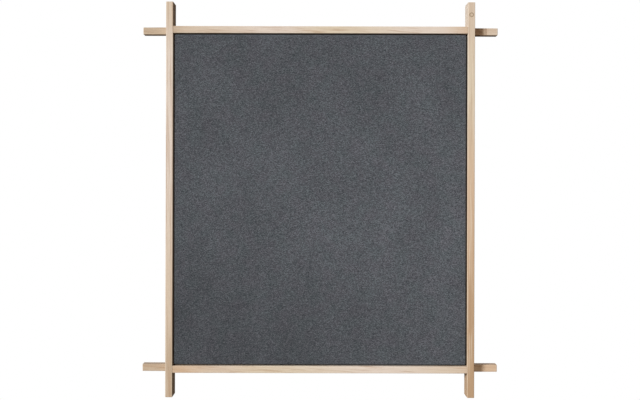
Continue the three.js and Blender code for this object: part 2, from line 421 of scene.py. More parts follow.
def ranged(value, low, high, to_low=0.0, to_high=1.0, smooth=False):
    """Brings a number from one range to another."""
    inputs = {"Value": value, "From Min": low, "From Max": high, "To Min": to_low, "To Max": to_high}
    style = "SMOOTHSTEP" if smooth else "LINEAR"
    return value.put("MapRange", inputs, "Result", interpolation_type=style)


def cloud(vector, lengths=None, scale=1.0, detail=2.0, roughness=0.5, output="Fac"):
    """Soft noise, of the given size in each direction or of the given scale."""
    place = vector * tuple(1 / length for length in lengths) if lengths else vector
    inputs = {"Vector": place, "Scale": scale, "Detail": detail, "Roughness": roughness}
    return vector.put("TexNoise", inputs, output)


def strayed(vector, lengths, reach):
    """A vector pushed about by soft noise, as far as the reach in each direction."""
    return vector + (cloud(vector, lengths, output="Color") - (0.5,) * 3) * reach


def scaled(color, factor):
    return tuple(part * factor for part in color)


# Finishes


# Sizes of the wood's patterns in millimetres: along the grain, through the depth and across the face.
GRAIN_SIZES = {
    "drift": (150, 42, 42),
    "ring_width": (400, 13, 13),
    "fibre": (28, 0.42, 0.42),
    "pores": (7, 0.3, 0.3),
    "slow_tone": (210, 60, 60),
    "band_cloud": (16, 4, 4),
}
# How dark the wood is at places through a year's growth, from 0 to 1.
RING_STOPS = ((0.0, 0.1), (0.45, 0.25), (0.78, 1.0), (0.9, 0.8), (1.0, 0.1))
# The knot's ring: how dark it is at places out to this many millimetres from its middle.
KNOT_SIZE = 9.0
KNOT_STOPS = ((0.0, 0.25), (0.12, 0.08), (0.34, 0.15), (0.45, 1.0), (0.55, 0.7), (0.7, 0.0))
KNOT_BROWN = (0.25, 0.17, 0.08)
# How far the growth rings swell round the knot, and how fast that fades with the distance squared.
KNOT_SWELL = 5.0
KNOT_FADE = 0.028


def timber(name, box, upright, cut, look):
    """Solid wood in one piece's own space. The cut says how it lay in the tree, the look its colours."""
    material, tree = new_material(name)
    size = (box[1] - box[0]) / MM
    half_long, half_face = (size.z / 2, size.x / 2) if upright else (size.x / 2, size.z / 2)
    half_deep = size.y / 2
    bar = bar_space(tree, box, upright)
    along, deep, across = axes(bar)
    grain = bar.put("Mapping", {"Vector": bar, "Location": cut["pith"], "Rotation": (0, *cut["tilt"])})
    wander = 2 * look["wander"] / MM
    wound = strayed(grain, GRAIN_SIZES["drift"], (0, wander, wander))

    radius = (wound * (0, 1, 1)).vector("LENGTH")
    if "knot" in cut:
        reach = knot_distance(along, across, *cut["knot"])
        radius = radius + (reach**2 * -KNOT_FADE).maths("EXPONENT") * KNOT_SWELL
    uneven = cloud(wound, GRAIN_SIZES["ring_width"], detail=1.0)
    late = late_wood(radius / (look["ring_spacing"] / MM) + uneven * 2.2)
    fibre = cloud(wound, GRAIN_SIZES["fibre"], detail=3.0, roughness=0.6)
    pores = ranged(cloud(wound, GRAIN_SIZES["pores"], detail=1.0), 0.62, 0.72) * (1.0 - late)

    brown, pale = look["streak_brown"], look["pale"]
    tone = tone_along(grain, along, half_long, cut["tones"])
    color = mixed(late * look["ring_depth"], tone, brown)
    slanted = wound + from_axes(Z=along * cut["slant"])
    streak = cloud(slanted, cut["streak_size"], roughness=0.6)
    color = mixed(ranged(streak, 0.52, 0.74, 0, cut["streaks"]), color, brown)
    color = mixed(ranged(streak, 0.46, 0.28, 0, 0.5), color, pale)
    color = color * ranged(fibre, 0.25, 0.75, 0.93, 1.06)
    color = mixed(pores * 0.42, color, brown)
    if "knot" in cut:
        in_front = ranged(deep, 0.0, half_deep, 1.0, 0.3)
        color = mixed(in_front, color, knot_colour(color, reach, uneven))
    # Dark bands across the bar: on the top rail, painted shade on its right horn and a small dark mark in
    # the wood.
    for middle, spread in cut.get("painted_shade_and_marks", ()):
        color = mixed(band_darkness(wound, along, middle, spread), color, scaled(brown, 0.7))

    color = mixed(near_edge(along, half_long, 0.35, 0.05) * 0.3, color, brown)
    # Painted shade: darkens the sides against the faces.
    if "painted_side_shade" in look:
        color = color * mixed(near_edge(across, half_face, 0.7, 0.2), (1, 1, 1), look["painted_side_shade"])
    worn = near_edge(deep, half_deep, 1.6, 0.3) * near_edge(across, half_face, 1.6, 0.3)
    color = mixed(worn * 0.35, color, pale)
    height = fibre * 0.5 + late * 0.35 - pores
    roughness = ranged(fibre, 0.2, 0.8, 0.95, 0.82) - worn * 0.1
    surface(color, roughness, height, 0.06 * MM, {"Specular IOR Level": 0.08})
    return material


def bar_space(tree, box, upright):
    """Millimetres from a bar's middle: X along it, Y through its depth and Z across its face."""
    middle = (box[0] + box[1]) / 2
    place = Vector((-middle.z, -middle.y, middle.x)) if upright else -middle
    inputs = {
        "Vector": put(tree, "TexCoord", output="Object"),
        "Location": place / MM,
        "Rotation": (0, math.radians(90) if upright else 0, 0),
        "Scale": (1 / MM,) * 3,
    }
    return put(tree, "Mapping", inputs)


def late_wood(years):
    """How dark the wood is for its place in its year's growth, from 0 to 1. No two years are alike."""
    darkness = ramp(years.maths("FRACT"), RING_STOPS, "EASE")
    year = years.put("TexWhiteNoise", {"W": years.maths("FLOOR")}, "Value", noise_dimensions="1D")
    return darkness.maths("MULTIPLY", ranged(year, 0, 1, 0.3, 1.0))


def tone_along(grain, along, half_long, tones):
    """The wood's main tone, which changes along the bar and wavers a little on the way."""
    waver = ranged(cloud(grain, GRAIN_SIZES["slow_tone"]), 0.2, 0.8, -0.03, 0.03)
    place = ranged(along, -half_long, half_long).maths("ADD", waver, clamp=True)
    return ramp(place, tones, "EASE")


def band_darkness(wound, along, middle, spread):
    """How dark a soft band across the bar is, from 0 to 1."""
    near = (((along - middle) / spread) ** 2 * -1.0).maths("EXPONENT")
    return near * ranged(cloud(wound, GRAIN_SIZES["band_cloud"]), 0.3, 0.6, 0.2, 1)


def near_edge(place, half, start, end):
    """Grows from 0 to 1 between two distances from the edges, which lie half a width from the middle."""
    return ranged(abs(place), half - start, half - end)


def knot_distance(along, across, knot_along, knot_across):
    """Distance in millimetres from a pin knot's middle, on the bar's face."""
    step = from_axes(X=along - knot_along, Z=across - knot_across)
    return step.vector("LENGTH") + ranged(cloud(step, scale=0.35), 0, 1, -0.7, 0.7)


def knot_colour(color, reach, uneven):
    """A thin dark ring, broken in places, round a heart as pale as the wood."""
    ring = ramp(reach.maths("DIVIDE", KNOT_SIZE, clamp=True), KNOT_STOPS, "EASE")
    broken = ranged(uneven, 0.35, 0.6, 0.7, 1.0)
    return mixed(ring.maths("MULTIPLY", broken), color, KNOT_BROWN)


def woven_cloth(name, cloth):
    """Plain weave of mixed grey yarns. The UV map holds metres along and across the flat cut."""
    material, tree = new_material(name)
    cut = put(tree, "UVMap", output="UV", uv_map="cut")
    threads = cut * ((1 / cloth.thread_pitch,) * 3)
    # Neighbouring threads waver together, by up to about half a thread.
    warp_place, weft_place, _ = axes(strayed(threads, (18,) * 3, (1.1, 1.1, 0)))
    warp_number, weft_number = warp_place.maths("FLOOR"), weft_place.maths("FLOOR")
    weft_over = abs(warp_number + weft_number).maths("MODULO", 2.0)
    warp_round, weft_round = thread_round(warp_place), thread_round(weft_place)
    warp_top = warp_round * ranged(weft_round, 0, 1, 0.55, 1.0)
    weft_top = weft_round * ranged(warp_round, 0, 1, 0.55, 1.0)
    height = either(weft_over, warp_top, weft_top)

    warp_shade = yarn_shade(warp_number, weft_place, seed=3.1, pace=0.5, spread=0.24)
    weft_shade = yarn_shade(weft_number, warp_place, seed=41.7, pace=0.3, spread=0.2)
    fuzz = cloud(threads, scale=2.6, detail=3.0, roughness=0.65)
    shade_of_yarn = either(weft_over, warp_shade, weft_shade) + ranged(fuzz, 0, 1, -0.27, 0.27)
    yarns = ((0.18, cloth.dark_yarn), (0.5, cloth.middle_yarn), (0.84, cloth.light_yarn))
    # Painted shade: the yarns are painted darker where the threads dip and a little lighter on their tops.
    color = ramp(shade_of_yarn, yarns) * ranged(height, 0.0, 0.6, 0.55, 1.06)
    fixed = {
        "Specular IOR Level": 0.15,
        "Sheen Weight": 0.12,
        "Sheen Roughness": 0.45,
        "Sheen Tint": (0.75, 0.78, 0.82, 1),
    }
    roughness = ranged(fuzz, 0, 1, 0.88, 1.0)
    surface(tone_and_painted_light(color, cut), roughness, height + fuzz * 0.6, 0.16 * MM, fixed)
    return material


def tone_and_painted_light(color, cut):
    """Broad soft changes of tone over the cloth, with places in metres from its middle: random patches and
    tint, a darker lower left, and painted light that brightens the right and the middle.
    """
    patches = cloud(cut, (0.11, 0.16, 1), detail=1.0)
    color = color * ranged(patches, 0.3, 0.7, 0.92, 1.08)
    tint = ranged(cloud(cut, (0.035, 0.035, 1)), 0.35, 0.65)
    color = color * mixed(tint, (1.02, 1.0, 1.04), (0.96, 1.02, 1.03))
    # Darker towards the lower left.
    upper_right = cut.vector("DOT_PRODUCT", (0.55, 0.83, 0.0))
    color = color * ranged(upper_right, -0.5, -0.05, 0.82, 1.0, smooth=True)
    # Painted light: brighter towards the right and along the middle, darker towards the top and bottom.
    right, up, _ = axes(cut)
    color = color * ranged(right, -0.35, 0.35, 0.95, 1.05)
    return color * ranged(abs(up), 0.08, 0.36, 1.04, 0.95, smooth=True)


def thread_round(place):
    """Height across a thread: 0 at its sides and 1 along its middle."""
    return abs((place * math.pi).maths("SINE")) ** 0.6


def yarn_shade(number, along, seed, pace, spread):
    """A shade from 0 to 1 that changes from yarn to yarn and slowly along each one."""
    point = from_axes(X=number * 7.37, Y=along * pace, Z=seed)
    return ranged(cloud(point, roughness=0.6), 0.5 - spread, 0.5 + spread)


def zinc_plate(name, fixings):
    """Bright zinc plating with faint clouding and fine scratches."""
    material, tree = new_material(name)
    place = millimetres(tree)
    patches = cloud(place, scale=0.45, detail=4.0, roughness=0.6)
    scratches = cloud(place, (6, 0.4, 0.25))
    zinc = tuple(fixings.zinc)
    color = mixed(ranged(patches, 0.3, 0.7), scaled(zinc, 0.82), zinc)
    roughness = ranged(patches, 0.3, 0.7, 0.44, 0.3) + scratches * 0.1
    surface(color, roughness, scratches, 0.01 * MM, {"Metallic": 1.0})
    return material


def pressed_board(name, fixings):
    """Hardboard seen from its rough side, with the print of a screen whose wires lie 1.5 mm apart."""
    material, tree = new_material(name)
    place = millimetres(tree)
    x, _, z = axes(place)
    rise, climb = ((axis * (2 * math.pi / 1.5)).maths("SINE") for axis in (x, z))
    screen = ranged(rise * climb, -1, 1)
    fibre = cloud(place, scale=0.9, detail=5.0, roughness=0.7)
    patches = cloud(place, scale=0.02, detail=3.0, roughness=0.6)
    base = tuple(fixings.hardboard)
    color = mixed(ranged(patches, 0.3, 0.7), scaled(base, 0.93), scaled(base, 1.06))
    color = color * ranged(fibre, 0.25, 0.75, 0.72, 1.25) * ranged(screen, 0, 1, 0.86, 1.08)
    roughness = ranged(fibre, 0.2, 0.8, 0.85, 0.7)
    surface(color, roughness, screen + fibre * 0.8, 0.12 * MM, {"Specular IOR Level": 0.25})
    return material


def fibre_board(name, fixings):
    """Soft wood-fibre board."""
    material, tree = new_material(name)
    place = millimetres(tree)
    fibre = cloud(place, (2.2, 0.5, 1.4), detail=4.0, roughness=0.7)
    specks = cloud(place, scale=0.6)
    base = tuple(fixings.softboard)
    color = mixed(ranged(fibre, 0.3, 0.7), scaled(base, 0.7), scaled(base, 1.2))
    color = mixed(ranged(specks, 0.62, 0.7, 0, 0.5), color, scaled(base, 0.4))
    roughness = ranged(fibre, 0.2, 0.8, 1.0, 0.88)
    surface(color, roughness, fibre, 0.25 * MM, {"Specular IOR Level": 0.1})
    return material


# The bars


# How each bar was cut from its tree. The pith's place is in millimetres and the tilt in radians. A tone
# has its place along the bar, from 0 to 1. The slant is the streaks' rise per length, and the knot and
# the dark bands, painted shade and marks, have their places in millimetres from the bar's middle.
BAR_CUTS = {
    "left_stile": {
        "pith": (311.0, 62.0, 33.0),
        "tilt": (0.006, -0.009),
        "tones": (
            ("khaki", 0.0), ("khaki", 0.09), ("biscuit", 0.25),
            ("pink_cream", 0.62), ("pink_cream", 0.86), ("biscuit", 1.0),
        ),
        "streaks": 0.6,
        "streak_size": (230.0, 5.5, 5.5),
        "slant": 0.0,
    },
    "right_stile": {
        "pith": (-742.0, -58.0, 41.0),
        "tilt": (-0.008, 0.007),
        "tones": (
            ("orange_tan", 0.0), ("orange_tan", 0.17), ("tan", 0.5),
            ("yellow_cream", 0.8), ("biscuit", 1.0),
        ),
        "streaks": 0.45,
        "streak_size": (170.0, 5.0, 4.0),
        "slant": -0.02,
        "knot": (440.0, 0.0),
    },
    "top_rail": {
        "pith": (1420.0, 49.0, -52.0),
        "tilt": (0.012, 0.008),
        "tones": (
            ("khaki", 0.06), ("biscuit", 0.14), ("pink_cream", 0.38),
            ("yellow_cream", 0.52), ("pink_cream", 0.84), ("tan", 0.94),
            ("biscuit", 0.99),
        ),
        "streaks": 0.68,
        "streak_size": (95.0, 5.0, 3.6),
        "slant": 0.07,
        # The wide band is painted shade where the stile's shadow falls on the right horn; the narrow one is
        # a small dark mark in the wood.
        "painted_shade_and_marks": ((376.0, 13.0), (397.0, 1.6)),
    },
    "bottom_rail": {
        "pith": (-2130.0, 55.0, 44.0),
        "tilt": (-0.010, 0.006),
        "tones": (
            ("khaki", 0.0), ("khaki", 0.06), ("tan", 0.1),
            ("biscuit", 0.22), ("yellow_cream", 0.36), ("pink_cream", 0.68),
            ("biscuit", 0.88), ("tan", 0.95),
        ),
        "streaks": 0.68,
        "streak_size": (110.0, 5.0, 3.8),
        "slant": 0.05,
    },
}


def bar_wood(name, box, upright, bars):
    cut = dict(BAR_CUTS[name])
    cut["tones"] = [(place, tuple(getattr(bars, tone))) for tone, place in cut["tones"]]
    look = {key: getattr(bars, key) for key in ("ring_spacing", "ring_depth", "wander")}
    look.update({key: tuple(getattr(bars, key)) for key in ("streak_brown", "pale", "painted_side_shade")})
    return timber(f"{name}_wood", box, upright, cut, look)


def stile_shape(box, bars):
    """A stile's side with its two notches, pushed through its width and rounded outside the notches."""
    low, high = box
    lap = high.y - LAP_DEPTH - JOINT_GAP
    notches = [(rail[0].z - JOINT_GAP, rail[1].z + JOINT_GAP) for rail in (BOTTOM_RAIL, TOP_RAIL)]
    outline = [(low.x, low.y, low.z), (low.x, high.y, low.z)]
    for foot, head in notches:
        outline += [(low.x, high.y, foot), (low.x, lap, foot), (low.x, lap, head), (low.x, high.y, head)]
    outline += [(low.x, high.y, high.z), (low.x, low.y, high.z)]
    shape = extruded(outline, (high.x - low.x, 0, 0))

    def outside(edge):
        middle = (edge.verts[0].co.z + edge.verts[1].co.z) / 2
        return not any(foot - JOINT_EDGE < middle < head + JOINT_EDGE for foot, head in notches)

    round_edges(shape, bars.edge_radius, bars.edge_steps, outside)
    return shape


def rail_shape(box, bars):
    """A rail's plan, full depth between the stiles and half depth past them, pushed through its height."""
    low, high = box
    lap = high.y - LAP_DEPTH
    left, right = LEFT_STILE[1].x + JOINT_GAP, RIGHT_STILE[0].x - JOINT_GAP
    plan = [(low.x, high.y), (high.x, high.y), (high.x, lap), (right, lap)]
    plan += [(right, low.y), (left, low.y), (left, lap), (low.x, lap)]
    shape = extruded([(x, y, low.z) for x, y in plan], (0, 0, high.z - low.z))

    def outside(edge):
        middle = (edge.verts[0].co.x + edge.verts[1].co.x) / 2
        return all(abs(middle - shoulder) > JOINT_EDGE for shoulder in (left, right))

    round_edges(shape, bars.edge_radius, bars.edge_steps, outside)
    return shape


class PINBOARD_OT_stiles(bpy.types.Operator):
    """Makes the two upright bars, notched at the back for the rails"""

    bl_idname = "pinboard.stiles"
    bl_label = "Make the stiles"

    def execute(self, context):
        bars = context.scene.pinboard_bars
        for name, box in (("left_stile", LEFT_STILE), ("right_stile", RIGHT_STILE)):
            mesh = mesh_from(stile_shape(box, bars), name)
            finish_wood(f"{name}_bar", mesh, bar_wood(name, box, True, bars), "bar_wood", name)
        return {"FINISHED"}


class PINBOARD_OT_rails(bpy.types.Operator):
    """Makes the two level bars, with their thinner ends and the screw holes in them"""

    bl_idname = "pinboard.rails"
    bl_label = "Make the rails"

    def execute(self, context):
        bars = context.scene.pinboard_bars
        for name, box in (("top_rail", TOP_RAIL), ("bottom_rail", BOTTOM_RAIL)):
            level = name.split("_")[0]
            holes = screw_holes(f"corner_screw_{level}_{side}" for side in ("left", "right"))
            mesh = carve(mesh_from(rail_shape(box, bars), name), holes)
            finish_wood(f"{name}_bar", mesh, bar_wood(name, box, False, bars), "bar_wood", name)
        return {"FINISHED"}


# Screws, plates and battens


# The shank is a share of the head's radius.
SCREW_FORMS = {
    "corner_screw": {"rim": 0.4 * MM, "cone": 1.9 * MM, "point": 3 * MM, "shank": 0.5},
    "cleat_screw": {"rim": 0.4 * MM, "cone": 1.6 * MM, "point": 3 * MM, "shank": 0.5},
    "panel_screw": {"rim": 0.4 * MM, "cone": 1.9 * MM, "point": 3 * MM, "shank": 0.5},
    "hanger_screw": {"rim": 0.3 * MM, "cone": 1.0 * MM, "point": 1.4 * MM, "shank": 0.54},
}
HOLE_GAP = 0.3 * MM
# How far a hole's cutter stands out past the screw's head.
HOLE_TOP = 2 * MM
SCREW_SIDES = 28


def screw_form(name):
    """The measures of a screw's kind, from its CAD node's name."""
    return SCREW_FORMS[name[: name.index("screw") + len("screw")]]


def nodes_named(*starts):
    """The CAD nodes whose names start with one of the given words, in order."""
    return sorted(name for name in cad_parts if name.startswith(starts))


def screw_outward(name):
    """The way from a screw's point to its head."""
    if name.startswith("cleat_screw"):
        return INWARD[name.split("_")[2]]
    return TO_WALL


def screw_size(name):
    """A screw's head radius and length, from its CAD node."""
    low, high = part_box(name)
    size = high - low
    outward = screw_outward(name)
    long = abs(size.dot(outward))
    return (sum(size) - long) / 4, long


def screw_place(name):
    """The matrix that brings a screw made along Z, head up at the origin, to where its CAD node is."""
    low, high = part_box(name)
    outward = screw_outward(name)
    head = (low + high) / 2 + outward * abs((high - low).dot(outward)) / 2
    return Matrix.Translation(head) @ outward.to_track_quat("Z", "Y").to_matrix().to_4x4()


def screw_holes(names):
    """Cutters for the holes that the named screws stand in."""
    holes = bmesh.new()
    for name in names:
        form = screw_form(name)
        radius, long = screw_size(name)
        shank = radius * form["shank"] + HOLE_GAP
        profile = [
            (0, HOLE_TOP),
            (radius + HOLE_GAP, HOLE_TOP),
            (radius + HOLE_GAP, -form["rim"] - HOLE_GAP),
            (shank, -form["rim"] - form["cone"] - HOLE_GAP),
            (shank, -long),
            (0, -long - HOLE_GAP),
        ]
        one = turned(profile, SCREW_SIDES)
        bmesh.ops.transform(one, matrix=screw_place(name), verts=one.verts[:])
        add_shape(holes, one)
    return holes


def screw_mesh(name):
    """A countersunk screw with a cross recess, made along Z with its head's face at the origin."""
    form = screw_form(name)
    radius, long = screw_size(name)
    shank = radius * form["shank"]
    profile = [
        (0, 0),
        (radius * 0.95, 0),
        (radius * 0.99, -0.02 * radius),
        (radius, -0.06 * radius),
        (radius, -form["rim"]),
        (shank, -form["rim"] - form["cone"]),
        (shank, form["point"] - long),
        (0, -long),
    ]
    body = mesh_from(turned(profile, SCREW_SIDES), name)
    return carve(body, recess_arm(radius, False), recess_arm(radius, True))


def recess_arm(radius, crossing):
    """One arm of the cross recess, narrower towards its foot. The crossing arm is a quarter turn on."""
    reach = Vector((0.56, 0.13, 0.55)) * radius
    arm = box_shape(-reach, (reach.x, reach.y, 0.2 * radius))
    foot = [vertex for vertex in arm.verts if vertex.co.z < 0]
    bmesh.ops.scale(arm, vec=(0.45, 0.7, 1), verts=foot)
    if crossing:
        quarter = Matrix.Rotation(math.pi / 2, 3, "Z")
        bmesh.ops.rotate(arm, cent=(0, 0, 0), matrix=quarter, verts=arm.verts[:])
    return arm


class PINBOARD_OT_screws(bpy.types.Operator):
    """Makes the countersunk screws, one piece for each kind"""

    bl_idname = "pinboard.screws"
    bl_label = "Make the screws"

    def execute(self, context):
        zinc = zinc_plate("zinc_screws", context.scene.pinboard_fixings)
        turns = random.Random(7)
        for kind in SCREW_FORMS:
            names = nodes_named(kind)
            if not names:
                raise RuntimeError(f"the frame has no {kind}")
            pattern = screw_mesh(names[0])
            whole = bmesh.new()
            for name in names:
                one = pattern.copy()
                one.transform(screw_place(name) @ Matrix.Rotation(turns.uniform(0, math.pi), 4, "Z"))
                whole.from_mesh(one)
            mesh = mesh_from(whole, kind, METAL_SHARP)
            finish_piece(f"{kind}s", mesh, zinc, "zinc_steel", *names)
        return {"FINISHED"}


PLATE_CORNER = 3 * MM
PLATE_EDGE = 0.2 * MM
PLATE_EDGE_ANGLE = 50
# The keyhole's entry and slot by their radii, the height from one to the other, and the rim below it.
ENTRY = 4.5 * MM
SLOT = 2.5 * MM
SLOT_RISE = 5.5 * MM
ENTRY_FOOT = 2 * MM
KEYHOLE_CUT = 6 * MM
# The pocket for the wall screw's head, cut into the batten behind the keyhole.
POCKET_HALF = 6 * MM
POCKET_DEPTH = 6 * MM
POCKET_GAP = 0.3 * MM


def keyhole_cutters(low, high):
    """The keyhole's round entry, and the slot above it with its round end."""
    middle = (low + high) / 2
    middle.z = low.z + ENTRY_FOOT + ENTRY
    top_z = middle.z + SLOT_RISE
    entry = bmesh.new()
    size = {"radius1": ENTRY, "radius2": ENTRY, "depth": KEYHOLE_CUT}
    place = Matrix.Translation(middle) @ Matrix.Rotation(math.pi / 2, 4, "X")
    bmesh.ops.create_cone(entry, cap_ends=True, segments=40, matrix=place, **size)
    foot = middle - Vector((SLOT, KEYHOLE_CUT / 2, 0))
    slot = box_shape(foot, middle + Vector((SLOT, KEYHOLE_CUT / 2, SLOT_RISE + SLOT)))
    # A radius of a full half width would leave a face without area at the top.
    round_edges(slot, SLOT * 0.998, 8, lambda edge: runs_along(edge, 1) and edge.verts[0].co.z > top_z)
    return entry, slot


class PINBOARD_OT_hangers(bpy.types.Operator):
    """Makes the two keyhole plates that the board hangs by"""

    bl_idname = "pinboard.hangers"
    bl_label = "Make the keyhole plates"

    def execute(self, context):
        zinc = zinc_plate("zinc_plates", context.scene.pinboard_fixings)
        for side in ("left", "right"):
            low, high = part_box(f"hanger_{side}")
            shape = box_shape(low, high)
            round_edges(shape, PLATE_CORNER, 6, lambda edge: runs_along(edge, 1))
            cutters = keyhole_cutters(low, high)
            holes = screw_holes(f"hanger_screw_{side}_{place}" for place in ("inner", "outer"))
            mesh = carve(mesh_from(shape, f"hanger_{side}"), *cutters, holes)
            shade(mesh, METAL_SHARP)
            plate = finish_piece(f"hanger_{side}_plate", mesh, zinc, "zinc_steel", f"hanger_{side}")
            eased = plate.modifiers.new("eased", "BEVEL")
            eased.width = PLATE_EDGE
            eased.segments = 2
            eased.limit_method = "ANGLE"
            eased.angle_limit = math.radians(PLATE_EDGE_ANGLE)
        return {"FINISHED"}


CLEAT_CUTS = {
    "left": {"pith": (120.0, 14.0, 70.0), "tilt": (0.004, 0.006)},
    "right": {"pith": (960.0, 12.0, -66.0), "tilt": (-0.005, 0.004)},
    "top": {"pith": (-1840.0, 15.0, 58.0), "tilt": (0.004, -0.005)},
    "bottom": {"pith": (2700.0, 13.0, -61.0), "tilt": (-0.004, -0.006)},
}
CLEAT_STREAKS = {"streaks": 0.4, "streak_size": (230.0, 5.5, 5.5), "slant": 0.0}
CLEAT_LOOK = {
    "ring_spacing": 2.6 * MM,
    "ring_depth": 0.5,
    "wander": 2.2 * MM,
    "streak_brown": (0.40, 0.21, 0.09),
    "pale": (0.74, 0.60, 0.40),
}


def cleat_wood(side, box, fixings):
    pine, dark = tuple(fixings.pine), tuple(fixings.pine_dark)
    cut = {**CLEAT_CUTS[side], **CLEAT_STREAKS, "tones": ((0.1, pine), (0.6, dark), (0.95, pine))}
    return timber(f"cleat_{side}_wood", box, side in ("left", "right"), cut, CLEAT_LOOK)


def hanger_seats():
    """Cutters for the recess that each plate lies in, and the pocket behind its keyhole."""
    recesses, pockets = bmesh.new(), bmesh.new()
    for side in ("left", "right"):
        low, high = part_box(f"hanger_{side}")
        past_back = Vector((JOINT_GAP, 4 * MM, JOINT_GAP))
        box_shape(low - Vector((JOINT_GAP,) * 3), high + past_back, recesses)
        middle = (low.x + high.x) / 2
        entry_z = low.z + ENTRY_FOOT + ENTRY
        foot = entry_z - ENTRY - POCKET_GAP
        top = entry_z + SLOT_RISE + ENTRY + POCKET_GAP
        box_shape(
            (middle - POCKET_HALF, high.y - POCKET_DEPTH, foot),
            (middle + POCKET_HALF, high.y + 3 * MM, top),
            pockets,
        )
    return recesses, pockets


class PINBOARD_OT_cleats(bpy.types.Operator):
    """Makes the four battens behind the panel, with their screw holes and the seats of the plates"""

    bl_idname = "pinboard.cleats"
    bl_label = "Make the battens"

    def execute(self, context):
        fixings = context.scene.pinboard_fixings
        for side in INWARD:
            name = f"cleat_{side}"
            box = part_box(name)
            shape = box_shape(*box)
            round_edges(shape, fixings.cleat_edge, 2)
            cutters = [screw_holes(nodes_named(f"cleat_screw_{side}", f"panel_screw_{side}"))]
            if side == "top":
                cutters += [*hanger_seats(), screw_holes(nodes_named("hanger_screw"))]
            mesh = carve(mesh_from(shape, name), *cutters)
            finish_wood(f"{name}_batten", mesh, cleat_wood(side, box, fixings), "cleat_wood", name)
        return {"FINISHED"}


# The panel


CORNER_ROUND = 3.5 * MM
FOLD_ROUND = 2.4 * MM
# Lines that divide the cloth's mesh: inside its edges, outside the hem's cut edge and along the mitres.
EDGE_LINE = 3.4 * MM
HEM_LINE = 12 * MM
MITRE_LINES = (-1.6 * MM, 0, 1.6 * MM)
# How far the mitres run on past the hem's width, and how deep their folds lie.
MITRE_REACH = 2 * MM
MITRE_DIP = 0.5 * MM
# The core's swell is full this far from the edges. The paces say how fast it and the hem's edge waver.
SWELL_REACH = 45 * MM
SWELL_PACE = Vector((4.5, 0, 3.1))
STRAY_PACE = 41


def cloth_cuts(half, cell):
    """Where the cloth's mesh is divided in one direction: near its edges, in its hem, evenly between."""
    count = round(2 * half / cell)
    fixed = [half - EDGE_LINE, half - HEM_WIDTH, half - HEM_WIDTH + HEM_LINE]
    fixed = sorted(fixed + [-place for place in fixed])
    even = [-half + 2 * half * step / count for step in range(1, count)]
    return fixed + [place for place in even if all(abs(place - other) > 0.35 * cell for other in fixed)]


def lies_behind(point):
    return point.y > CLOTH_HIGH.y - SAME


def faces_behind(skin, middle, reach_x, reach_z):
    """The faces in the cloth's back whose centres lie within reach of a place."""
    found = []
    for face in skin.faces:
        centre = face.calc_center_median()
        away = centre - middle
        if lies_behind(centre) and abs(away.x) < reach_x and abs(away.z) < reach_z:
            found.append(face)
    return found


def folded_edge(edge):
    """True for an edge round the panel's face or its back."""
    off_middle = max(abs(vertex.co.y - BOARD_MIDDLE.y) for vertex in edge.verts)
    return off_middle > 0.499 * PANEL_DEPTH and not runs_along(edge, 1)


def cloth_skin(cloth):
    """The outside of the cloth: over the panel's face, round its sides and in behind as a hem."""
    skin = box_shape(CLOTH_LOW, CLOTH_HIGH)
    round_edges(skin, CORNER_ROUND, 4, lambda edge: runs_along(edge, 1))
    round_edges(skin, FOLD_ROUND, 4, folded_edge)
    for axis, half in ((0, HALF_WIDTH), (2, HALF_HEIGHT)):
        normal = Vector((axis == 0, 0, axis == 2))
        for place in cloth_cuts(half, cloth.cell):
            point = normal * (BOARD_MIDDLE[axis] + place)
            whole = skin.verts[:] + skin.edges[:] + skin.faces[:]
            bmesh.ops.bisect_plane(skin, geom=whole, dist=CUT_TOLERANCE, plane_co=point, plane_no=normal)
    mitre_hem(skin)
    open_back = faces_behind(skin, BOARD_MIDDLE, HALF_WIDTH - HEM_WIDTH, HALF_HEIGHT - HEM_WIDTH)
    bmesh.ops.delete(skin, geom=open_back, context="FACES")
    bmesh.ops.remove_doubles(skin, verts=skin.verts[:], dist=SAME)
    return skin


def mitre_hem(skin):
    """Divides the hem along the fold lines at its four corners."""
    reach = HEM_WIDTH + MITRE_REACH
    for sign_x in (-1, 1):
        for sign_z in (-1, 1):
            corner = BOARD_MIDDLE + Vector((sign_x * HALF_WIDTH, 0, sign_z * HALF_HEIGHT))
            corner.y = CLOTH_HIGH.y
            normal = Vector((sign_z, 0, -sign_x)).normalized()
            for line in MITRE_LINES:
                faces = faces_behind(skin, corner, reach, reach)
                edges = {edge for face in faces for edge in face.edges}
                verts = {vertex for face in faces for vertex in face.verts}
                geom = [*verts, *edges, *faces]
                point = corner + normal * line
                bmesh.ops.bisect_plane(skin, geom=geom, dist=SAME, plane_co=point, plane_no=normal)


def lay_threads(skin):
    """Writes the flat cut's coordinates to the UV map, in metres from the cloth's middle."""
    layer = skin.loops.layers.uv.new("cut")
    for face in skin.faces:
        centre = face.calc_center_median() - BOARD_MIDDLE
        beside = abs(centre.x) - HALF_WIDTH > abs(centre.z) - HALF_HEIGHT
        behind = face.normal.y > 0.5
        for loop in face.loops:
            point = loop.vert.co - BOARD_MIDDLE
            deep = loop.vert.co.y - CLOTH_LOW.y
            if beside:
                loop[layer].uv = (unfolded(point.x, HALF_WIDTH, deep, behind), point.z)
            else:
                loop[layer].uv = (point.x, unfolded(point.z, HALF_HEIGHT, deep, behind))


def unfolded(place, half, deep, behind):
    """How far a point of the folded cloth lies from its middle once it is flat."""
    reach = abs(place)
    flat = half + PANEL_DEPTH + (half - reach) if behind else reach + deep
    return math.copysign(flat, place)


